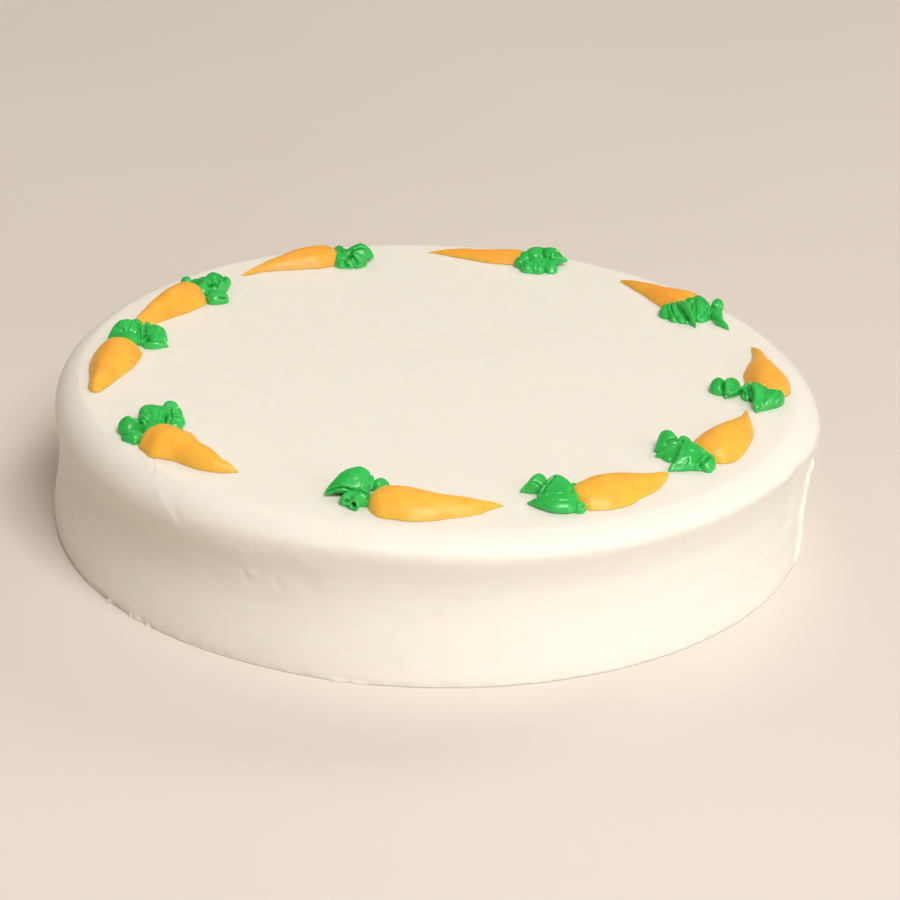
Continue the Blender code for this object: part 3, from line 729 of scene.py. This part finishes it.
# A seam is where two leaves of a tuft were pressed together: a crease from one point to another, both
# in millimetres behind the butt and towards the rim. It bows to the left, and the leaf on its left is
# lifted into a lip.
Seam = namedtuple("Seam", "back1 out1 back2 out2 bow depth width lift")
SEAM_POINTS = 14
SEAM_DROP = 20 * MM
LIP_REACH = 1.1 * MM
LIP_START = 0.25 * MM
SEAMS = (
    (
        Seam(13.2, -4.2, 0.6, -3.0, 0.2, 1, 0.4, 0.6),
        Seam(5.0, 2.5, 7.0, 2.3, -0.8, 1.4, 0.5, 0.2),
        Seam(12.4, -5.3, 9.2, -4.4, 0.4, 0.4, 0.4, 0.2),
        Seam(1.4, -7.0, 2.5, -4.0, 0.1, -0.35, 0.5, 0),
        Seam(-0.1, -11.4, 0.1, 1.0, 0.3, 0.8, 0.5, 0),
        Seam(3.4, -2.9, 0.8, 0.2, -1.0, 0.7, 0.5, 0.2),
    ),
    (
        Seam(3.1, -5.0, 10.5, -0.7, -0.6, 1.5, 0.5, 0.5),
        Seam(-3.8, -1.1, 7.9, 1.0, 2.7, 0.7, 0.35, 0.35),
        Seam(5.6, -4.9, 10.7, -9.2, -1.5, 0.6, 0.35, 0.25),
        Seam(-0.1, 8.8, -1.6, 8.2, -0.1, 1, 0.45, 0.3),
        Seam(7.4, 4.6, -0.5, 5.8, -1.1, 0.35, 0.6, 0),
        Seam(4.5, -10.8, 8.7, -9.0, 0.1, -0.3, 0.5, 0),
    ),
    (
        Seam(3.0, -11.7, -5.5, -11.2, -2.1, 1.1, 0.5, 0.5),
        Seam(-4.6, -9.4, 11.2, -4.4, 0.9, 1.4, 0.6, 0.4),
        Seam(7.7, 3.3, 1.9, 3.9, -0.5, 1.4, 0.45, 0.5),
        Seam(2.5, 1.4, 7.5, 1.3, -0.2, 0.9, 1, 0),
        Seam(7.3, 2.8, 7.7, 4.0, -0.3, 1.2, 0.45, 0),
        Seam(9.0, -0.7, 12.3, -2.8, 0.5, 0.35, 0.6, 0),
        Seam(0.3, -14.4, 3.3, -14.2, 0.1, 0.3, 0.5, 0),
        Seam(6.3, -3.8, 5.2, -0.2, -0.8, 0.3, 0.6, 0.2),
    ),
    (
        Seam(-6.1, -14.7, -2.5, -16.1, -0.4, 1.3, 0.5, 0.3),
        Seam(-6.6, -6.8, 7.8, -7.8, -0.5, 1.1, 0.5, 0.2),
        Seam(1.1, -1.9, 8.2, -4.7, 0.1, 0.6, 0.35, 0.35),
        Seam(0.8, -2.9, 8.0, -5.3, 0.2, 0.6, 0.35, 0.3),
        Seam(2.5, 1.6, 9.2, -1.4, 0.9, 0.5, 0.5, 0.4),
        Seam(-3.6, -12.1, -2.8, -8.9, 1.6, 0.9, 0.5, 0),
        Seam(-1.1, -11.7, 1.7, -9.8, 0.9, 0.9, 0.5, 0),
        Seam(0.6, -6.1, 10.3, -6.4, -0.1, -0.25, 0.5, 0),
    ),
    (
        Seam(-4.4, -10.1, 2.8, -16.9, -0.9, 1.3, 0.4, 0.2),
        Seam(-3.1, -8.6, 6.5, -15.3, -0.8, 1.7, 0.5, 0.3),
        Seam(-5.0, -12.1, 1.0, -18.0, -0.4, 0.6, 0.4, 0.2),
        Seam(7.2, -4.4, 10.0, -6.3, -0.6, 1.5, 0.5, 0),
        Seam(1.1, -5.4, 7.1, -13.5, 0.1, 0.6, 0.35, 0.2),
        Seam(2.2, -4.8, 6.4, -10.1, -0.0, 0.6, 0.35, 0.2),
        Seam(-1.4, -5.1, 1.8, -4.0, -0.9, 0.7, 0.6, 0),
        Seam(6.2, 0.2, 8.7, 2.8, -1.8, 0.8, 0.6, 0),
        Seam(8.7, -11.1, 9.2, -7.6, 0.0, 0.5, 0.5, 0.3),
    ),
    (
        Seam(5.0, -1.2, 5.9, -3.4, -0.4, 0.9, 0.9, 0),
        Seam(10.2, -3.5, 13.1, -2.9, -0.0, 1.2, 0.7, 0),
        Seam(7.4, -9.1, 8.0, -11.8, -0.3, 1.1, 0.5, 0),
        Seam(2.9, -9.4, 3.5, -13.3, -0.2, 0.6, 0.5, 0),
        Seam(-0.5, -8.3, -0.1, -12.9, 0.1, 0.6, 0.5, 0.2),
        Seam(4.2, -4.4, 1.4, -4.4, 0.3, 0.5, 0.7, 0.3),
        Seam(9.6, -2.9, 8.1, -3.7, -0.3, 0.5, 0.6, 0.3),
    ),
    (
        Seam(7.3, -6.6, 2.6, -5.3, -0.2, 1.1, 0.5, 0.6),
        Seam(2.6, -5.3, 2.2, -11.6, -1.6, 1.4, 0.6, 0.5),
        Seam(-1.8, -7.9, -1.2, -10.5, -0.6, 1.1, 0.5, 0),
        Seam(2.6, 3.2, -0.1, -2.0, 0.1, 0.6, 0.4, 0.3),
        Seam(2.6, -4.2, -0.2, -6.0, -0.2, 0.5, 0.8, 0),
    ),
    (
        Seam(4.4, 0.0, 9.8, -4.3, -0.7, 1.5, 0.6, 0),
        Seam(-0.6, -9.6, 1.8, -10.9, -0.4, 1.3, 0.6, 0.5),
        Seam(6.1, -0.2, 4.7, -0.5, 0.5, 0.7, 0.6, 0.2),
        Seam(8.2, -0.7, 6.5, -2.7, 0.4, 0.5, 0.6, 0.3),
        Seam(5.1, 1.8, 5.1, 0.0, 0.4, -0.3, 0.5, 0),
    ),
    (
        Seam(12.8, -4.5, 2.2, -6.4, 0.2, 1.2, 0.45, 0),
        Seam(5.4, 1.6, 4.3, 2.8, 0.1, 0.7, 0.4, 0.4),
        Seam(10.2, -2.5, 2.9, -4.9, 0.0, 1, 0.5, 0.4),
        Seam(6.9, -10.7, 2.7, -10.7, 0.1, 0.5, 0.5, 0),
        Seam(7.6, -12.7, 2.3, -6.4, 3.4, 0.7, 0.4, 0.4),
        Seam(8.8, -0.2, 5.1, 0.4, 0.2, 0.7, 0.6, 0),
        Seam(6.4, 4.3, 5.4, 1.6, -0.2, 0.35, 0.6, 0.2),
    ),
    (
        Seam(9.0, -1.0, 3.7, -3.9, 0.5, 1.1, 0.45, 0.6),
        Seam(7.3, -0.0, 4.3, -2.3, 0.7, 1, 0.45, 0.5),
        Seam(5.2, 5.5, 2.3, 2.9, -0.9, 1.1, 0.5, 0.4),
        Seam(8.7, -9.3, 3.9, -5.5, 0.6, 0.5, 0.8, 0.2),
        Seam(6.0, -12.7, 2.2, -7.2, -0.2, 0.5, 0.5, 0.4),
        Seam(5.7, -16.4, -1.2, -9.1, 0.5, 1.1, 0.45, 0.2),
        Seam(5.4, -17.6, 3.5, -18.9, 0.7, 0.9, 0.4, 0),
        Seam(1.3, -13.2, -0.7, -16.2, -0.1, 0.9, 0.4, 0.2),
        Seam(-1.4, -10.4, -1.1, -15.8, -0.8, 0.7, 0.4, 0),
        Seam(11.2, -7.9, 7.8, -1.3, -0.3, 0.5, 0.6, 0),
    ),
)


def swell(share, start, peak, end, power):
    """A share that starts at start, is 1 at peak and falls to end."""
    rising = start + (1 - start) * np.sin(math.pi / 2 * np.clip(share / peak, 0, 1))
    falling = np.clip((share - peak) / (1 - peak), 0, 1) ** power
    return np.where(share < peak, rising, end + (1 - end) * np.cos(math.pi / 2 * falling))


def stroke_profile(stroke, share):
    """Width and height of a stroke along its length, as shares of the full ones."""
    if stroke.kind == "fold":
        wide = swell(share, start=0.55, peak=stroke.peak, end=0.02, power=1.1)
        return wide, swell(share, start=0.82, peak=stroke.peak, end=0.0, power=1.0)
    if stroke.kind == "nub":
        lobe = np.sqrt(np.clip(1 - np.abs(2 * share - 1) ** NUB_SQUARE, THINNEST, 1))
        return lobe, lobe * (1 - share + share * stroke.tip / stroke.height)
    if stroke.kind == "rib":
        return np.sqrt(np.clip(1 - (2 * share - 1) ** RIB_SQUARE, THINNEST, 1)), 1 - share
    roll = swell(share, start=0.75, peak=0.3, end=0.95, power=1.0)
    return roll, roll


def flank(width, tall, lip, crest, low):
    """One side of a stroke: from the ridge down to its free edge, and back under it."""
    across = np.linspace(0, 1, STROKE_POINTS // 2 + 1)
    dome = np.sqrt(1 - across**2)
    drop = dome * (1 - crest) + (1 - across) * crest
    edge = min(lip * MM, tall * LIP_SHARE)
    under = LIP_UNDER
    under_rise = np.array((edge - LIP_THICKNESS, edge * LIP_SHARE - LIP_THICKNESS, low, low))
    if lip == 0:
        edge = low + (tall - low) * BULGE
        under = ROUND_UNDER
        under_rise = low + (edge - low) * ROUND_RISE
    rise = edge + (tall - edge) * drop
    under_rise = np.clip(under_rise, low, None)
    return np.concatenate([across, under]) * width, np.concatenate([rise, under_rise])


def stroke_section(stroke, wide, tall, low):
    """Points round a stroke: down its rim side and back under it, then up its other side."""
    near_side, near_rise = flank(stroke.near * MM * wide, tall, stroke.lip, stroke.crest, low)
    far_side, far_rise = flank(stroke.far * MM * wide, tall, stroke.lip2, stroke.crest, low)
    side = np.concatenate([near_side, -far_side[:0:-1]])
    rise = np.concatenate([near_rise, far_rise[:0:-1]])
    return side, rise


def rib_section(stroke, wide, tall, _low):
    """A small round cord with its top at the stroke's height."""
    turn = np.arange(RIB_POINTS) * math.tau / RIB_POINTS
    radius = (stroke.near + stroke.far) / 2 * MM * wide
    return np.cos(turn) * radius, tall - radius + np.sin(turn) * radius


def make_stroke(bed, stroke):
    """Rings of points and faces of one stroke of leaf icing."""
    turn = math.radians(stroke.turn)
    length, height = stroke.length * MM, stroke.height * MM
    steps = (np.arange(STROKE_RINGS) + RING_INSET) / (STROKE_RINGS - 1 + 2 * RING_INSET)
    share = 0.5 - 0.5 * np.cos(math.pi * steps)
    section = {"tube": tube_section, "rib": rib_section}.get(stroke.kind, stroke_section)
    wide, tall = stroke_profile(stroke, share)
    rows = []
    for s, w, h in zip(share, wide, tall):
        ridge, low = height * h, -LEAF_SINK
        if stroke.kind != "nub":
            ridge += stroke.tip * MM * s
            low += max(stroke.tip - LOW_TIP, 0.0) * MM * s**2
        side, rise = section(stroke, w, ridge, low)
        run = length * s
        side = side + stroke.bow * MM * 4 * s * (1 - s)
        back = stroke.back * MM + math.cos(turn) * run - math.sin(turn) * side
        out = stroke.out * MM + math.sin(turn) * run + math.cos(turn) * side
        rows.append(bed.place(-back, -out, rise))
    if stroke.kind == "tube":
        rows += tube_mouth(bed, stroke, rows[-1])
    return np.concatenate(rows), skin_faces(len(rows), len(rows[0]))


def tube_section(stroke, wide, tall, _low):
    """A round roll of icing that lies on the frosting."""
    turn = np.arange(TUBE_POINTS) * math.tau / TUBE_POINTS
    radius = (stroke.near + stroke.far) / 2 * MM * wide
    return np.sin(turn) * radius, tall * (0.5 + 0.5 * np.cos(turn))


def tube_mouth(bed, stroke, rim):
    """Rows of points that turn in at a tube's end and run back inside it."""
    centre = rim.mean(axis=0)
    turn = math.radians(stroke.turn)
    ahead = -math.cos(turn) * bed.ahead - math.sin(turn) * bed.left
    along = np.array((ahead[0], ahead[1], 0.0))
    rows = []
    for size, depth in MOUTH_ROWS:
        rows.append(centre + (rim - centre) * size - along * depth * MM)
    return rows


def wander(points, number):
    """Shift points a little, the same way each run, so that no stroke stays perfectly regular."""
    noise.seed_set(WANDER_SEED)
    moved = points.copy()
    for i, (x, y, z) in enumerate(points / MM / WANDER_LENGTH):
        shift = noise.noise_vector((x + number, y, z))
        moved[i, :2] += np.array(shift)[:2] * WANDER
    return moved


def seam_path(tree, bed, seam):
    """The points of a seam, dropped onto the tuft from above."""
    share = np.linspace(0, 1, SEAM_POINTS)[:, None]
    start = np.array((seam.back1, seam.out1)) * MM
    end = np.array((seam.back2, seam.out2)) * MM
    run = end - start
    across = np.array((-run[1], run[0])) / np.linalg.norm(run)
    path = start + run * share + across * seam.bow * MM * 4 * share * (1 - share)
    dropped = []
    for x, y, z in bed.place(-path[:, 0], -path[:, 1], SEAM_DROP):
        hit = tree.ray_cast(Vector((x, y, z)), Vector((0, 0, -1)))[0]
        if hit is not None:
            dropped.append(tuple(hit))
    return np.array(dropped)


def press_seam(points, path, seam):
    """How far a seam or a score pushes each point out, negative for in."""
    nearest, side = path_gap(points, path)
    crease = -seam.depth * MM * np.exp(-((nearest / (seam.width * MM)) ** 2))
    lip = np.exp(-nearest / LIP_REACH) * (1 - np.exp(-((nearest / LIP_START) ** 2)))
    return crease + np.where(side > 0, seam.lift * MM * lip, 0.0)


def press_seams(leaves, bed, seams):
    shell = bmesh.new()
    shell.from_mesh(leaves.data)
    tree = BVHTree.FromBMesh(shell)
    shell.free()
    points, normals = read_vertices(leaves.data)
    push = np.zeros(len(points))
    for seam in seams:
        path = seam_path(tree, bed, seam)
        if len(path) > 1:
            push += press_seam(points, path, seam)
    push_vertices(leaves.data, points, normals, push)


def make_leaves(number, bed, strokes, seams):
    points, faces, start = [], [], 0
    for stroke in strokes:
        ring_points, ring_quads = make_stroke(bed, stroke)
        points.append(ring_points)
        faces += [tuple(start + i for i in face) for face in ring_quads]
        start += len(ring_points)
    leaves = new_mesh(f"leaves_finish_{number:02d}", wander(np.concatenate(points), number), faces)
    shell = bmesh.new()
    shell.from_mesh(leaves.data)
    bmesh.ops.recalc_face_normals(shell, faces=shell.faces)
    shell.to_mesh(leaves.data)
    shell.free()
    remesh = leaves.modifiers.new("union", "REMESH")
    remesh.mode = "VOXEL"
    remesh.voxel_size = LEAF_VOXEL
    smooth = leaves.modifiers.new("soften", "SMOOTH")
    smooth.factor = SMOOTH_FACTOR
    smooth.iterations = SMOOTH_ROUNDS
    apply_modifiers(leaves)
    press_seams(leaves, bed, seams)

    def relief(point):
        x, y, z = point / MM
        dimple = noise.noise((x / DIMPLE_SIZE + number, y / DIMPLE_SIZE, z / DIMPLE_SIZE))
        fine = noise.noise((x / FINE_SIZE, y / FINE_SIZE, z / FINE_SIZE + number))
        return dimple * DIMPLE_BUMP + fine * PIMPLE_BUMP

    displace(leaves, relief)
    leaves.data.shade_smooth()
    return leaves


def apply_modifiers(thing):
    depsgraph = bpy.context.evaluated_depsgraph_get()
    mesh = bpy.data.meshes.new_from_object(thing.evaluated_get(depsgraph))
    thing.modifiers.clear()
    thing.data = mesh


# ---- materials ----
# How steeply the painted shade deepens the orange from the front of the cake to its back, per metre of
# depth.
PAINTED_SHADE_SLOPE = 1.6
MOTTLE_SCALE = 160.0
GRAIN_SCALE = 1400.0
PORE_SCALE = 420.0
FLOOR_SIZE = 3.0
FLOOR_ROUGHNESS = 0.7
FLOOR_SCALE = 3.0
FLOOR_STOPS = ((0.3, (0.70, 0.625, 0.555, 1)), (0.7, (0.73, 0.655, 0.585, 1)))


def new_material(name):
    material = bpy.data.materials.new(name)
    material.use_nodes = True
    tree = material.node_tree
    return material, tree.nodes, tree.links, tree.nodes["Principled BSDF"]


def add_noise(nodes, links, coords, scale, detail, roughness=0.5):
    texture = nodes.new("ShaderNodeTexNoise")
    texture.inputs["Scale"].default_value = scale
    texture.inputs["Detail"].default_value = detail
    texture.inputs["Roughness"].default_value = roughness
    links.new(coords, texture.inputs["Vector"])
    return texture.outputs["Fac"]


def add_ramp(nodes, links, factor, stops):
    ramp = nodes.new("ShaderNodeValToRGB")
    elements = ramp.color_ramp.elements
    elements[0].position, elements[0].color = stops[0]
    elements[1].position, elements[1].color = stops[-1]
    for place, colour in stops[1:-1]:
        element = elements.new(place)
        element.color = colour
    links.new(factor, ramp.inputs["Fac"])
    return ramp.outputs["Color"]


def add_painted_shade(nodes, links, coords, mottle):
    """Painted shade: the mottle shifted steadily from the front of the cake to its back, so the colour
    deepens towards the back, away from the key lamp.
    """
    split = nodes.new("ShaderNodeSeparateXYZ")
    links.new(coords, split.inputs["Vector"])
    shift = nodes.new("ShaderNodeMath")
    shift.operation = "MULTIPLY_ADD"
    links.new(split.outputs["Y"], shift.inputs[0])
    shift.inputs[1].default_value = PAINTED_SHADE_SLOPE
    links.new(mottle, shift.inputs[2])
    return shift.outputs["Value"]


def add_bump(nodes, links, height, strength, distance, normal=None):
    bump = nodes.new("ShaderNodeBump")
    bump.inputs["Strength"].default_value = strength
    bump.inputs["Distance"].default_value = distance
    links.new(height, bump.inputs["Height"])
    if normal is not None:
        links.new(normal, bump.inputs["Normal"])
    return bump.outputs["Normal"]


def icing(name, stops, roughness, scatter, scatter_scale, grain, gloss, inside, paints_shade=False):
    """A soft icing: mottled colour, light that scatters inside, and fine grain, and where asked, painted
    shade that deepens the colour towards the back of the cake.
    """
    material, nodes, links, shader = new_material(name)
    coords = nodes.new("ShaderNodeTexCoord").outputs["Object"]
    mottle = add_noise(nodes, links, coords, MOTTLE_SCALE, detail=3.0)
    # Where asked, painted shade is added to the mottle: the colour deepens towards the back of the cake.
    if paints_shade:
        mottle = add_painted_shade(nodes, links, coords, mottle)
    links.new(add_ramp(nodes, links, mottle, stops), shader.inputs["Base Color"])
    fine = add_noise(nodes, links, coords, GRAIN_SCALE, detail=3.0, roughness=0.6)
    coarse = add_noise(nodes, links, coords, PORE_SCALE, detail=2.0)
    pores = add_bump(nodes, links, coarse, strength=0.5, distance=grain * 2.0)
    bumped = add_bump(nodes, links, fine, strength=0.6, distance=grain, normal=pores)
    links.new(bumped, shader.inputs["Normal"])
    shader.inputs["Roughness"].default_value = roughness
    shader.inputs["Specular IOR Level"].default_value = gloss
    shader.inputs["Subsurface Weight"].default_value = inside
    shader.inputs["Subsurface Radius"].default_value = scatter
    shader.inputs["Subsurface Scale"].default_value = scatter_scale
    return material


def materials():
    frosting = icing(
        "frosting_look",
        stops=((0.35, (0.835, 0.785, 0.685, 1)), (0.65, (0.85, 0.80, 0.705, 1))),
        roughness=0.5,
        scatter=(1.0, 0.8, 0.55),
        scatter_scale=0.003,
        grain=0.00003,
        gloss=0.4,
        inside=0.35,
    )
    orange = icing(
        "orange_icing_look",
        stops=((0.35, (1.0, 0.48, 0.065, 1)), (0.65, (1.0, 0.40, 0.055, 1))),
        roughness=0.36,
        scatter=(1.0, 0.32, 0.10),
        scatter_scale=0.0035,
        grain=0.00004,
        gloss=0.3,
        inside=0.85,
        # The orange has painted shade: deeper orange towards the back of the cake, away from the key lamp.
        paints_shade=True,
    )
    green = icing(
        "green_icing_look",
        stops=((0.35, (0.03, 0.44, 0.07, 1)), (0.65, (0.045, 0.52, 0.10, 1))),
        roughness=0.27,
        scatter=(0.2, 1.0, 0.3),
        scatter_scale=0.0012,
        grain=0.00006,
        gloss=0.5,
        inside=0.35,
    )
    return frosting, orange, green


# ---- floor, light and camera ----
def make_floor():
    size = FLOOR_SIZE
    corners = ((-size, -size, 0), (size, -size, 0), (size, size, 0), (-size, size, 0))
    floor = new_mesh("floor", corners, [(0, 1, 2, 3)])
    material, nodes, links, shader = new_material("floor_look")
    coords = nodes.new("ShaderNodeTexCoord").outputs["Object"]
    shade = add_noise(nodes, links, coords, FLOOR_SCALE, detail=2.0)
    links.new(add_ramp(nodes, links, shade, FLOOR_STOPS), shader.inputs["Base Color"])
    shader.inputs["Roughness"].default_value = FLOOR_ROUGHNESS
    floor.data.materials.append(material)


def add_area(lamp):
    """A square soft light that looks at the middle of the cake."""
    round_angle, rise_angle = math.radians(lamp.azimuth), math.radians(lamp.elevation)
    level = LAMP_DISTANCE * math.cos(rise_angle)
    place = Vector((level * math.cos(round_angle), level * math.sin(round_angle), 0))
    place.z = LAMP_DISTANCE * math.sin(rise_angle)
    light = bpy.data.lights.new(lamp.name, "AREA")
    light.size = lamp.size
    light.energy = lamp.power
    light.color = lamp.colour
    thing = bpy.data.objects.new(lamp.name, light)
    thing.visible_glossy = lamp.shine
    thing.location = place
    thing.rotation_euler = (-place).to_track_quat("-Z", "Y").to_euler()
    bpy.context.scene.collection.objects.link(thing)


def make_light():
    world = bpy.data.worlds.new("studio")
    world.use_nodes = True
    sky = world.node_tree.nodes["Background"]
    sky.inputs["Color"].default_value = SKY_COLOUR
    sky.inputs["Strength"].default_value = SKY_STRENGTH
    bpy.context.scene.world = world
    for lamp in LAMPS:
        add_area(lamp)


def make_camera():
    lens = bpy.data.cameras.new("camera")
    lens.lens = CAMERA_LENS
    lens.sensor_width = CAMERA_SENSOR
    camera = bpy.data.objects.new("camera", lens)
    camera.location = CAMERA_PLACE
    aim = Euler((math.pi / 2 - CAMERA_DOWN, 0, CAMERA_TURN), "XYZ").to_matrix()
    roll = Euler((0, 0, CAMERA_ROLL), "XYZ").to_matrix()
    camera.rotation_euler = (aim @ roll).to_euler()
    bpy.context.scene.collection.objects.link(camera)
    bpy.context.scene.camera = camera
    bpy.context.scene.view_settings.view_transform = "Standard"


def settle(piece, node, material):
    piece.data.materials.clear()
    piece.data.materials.append(material)
    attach(piece, "root")
    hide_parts(node)


def main():
    frosting, orange, green = materials()
    settle(make_cake(), CAKE, frosting)
    for number, (root, strokes, seams) in enumerate(zip(ROOTS, TUFTS, SEAMS), start=1):
        bed = Bed(f"carrot_{number:02d}_root", root.heading)
        settle(make_root(number, bed, root), f"carrot_{number:02d}_root", orange)
        leaves = make_leaves(number, bed, strokes, seams)
        settle(leaves, f"carrot_{number:02d}_leaves", green)
    make_floor()
    make_light()
    make_camera()


main()
